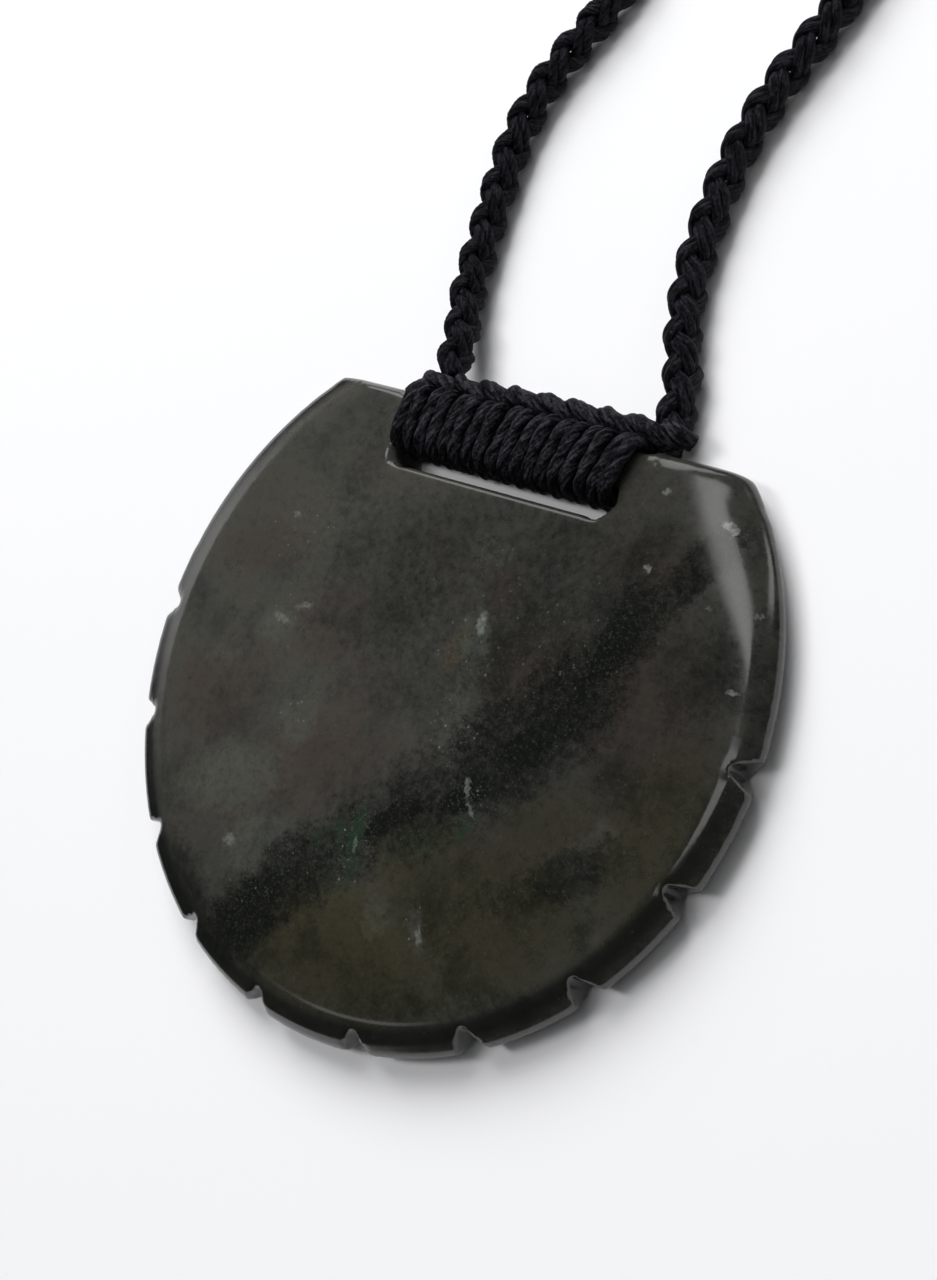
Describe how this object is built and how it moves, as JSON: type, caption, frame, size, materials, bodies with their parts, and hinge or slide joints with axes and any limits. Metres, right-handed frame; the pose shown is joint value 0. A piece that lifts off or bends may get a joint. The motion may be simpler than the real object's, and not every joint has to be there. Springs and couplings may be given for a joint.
{
  "type": "notched disc pendant on a braided cord",
  "caption": "Flat domed stone disc with a notched rim and a straight top, bound through a slot to a braided neck cord.",
  "frame": {"origin": "centre of the disc's outline on its flat back", "axes": "+X across the pendant to the right as it is worn, +Y up along the pendant towards the neck loop, +Z out of the domed front"},
  "size_m": [0.1797, 0.2966, 0.0048],
  "materials": {
    "stone": "polished dark green-grey nephrite with cloudy mottling and a few pale specks",
    "binding_thread": "waxed black twisted thread",
    "braided_cord": "four-strand round braid of black twisted thread"
  },
  "bodies": {
    "root": {"disc": "stone", "binding": "binding_thread", "hitched_plait": "binding_thread", "necklace_cord": "braided_cord"}
  },
  "joints": []
}
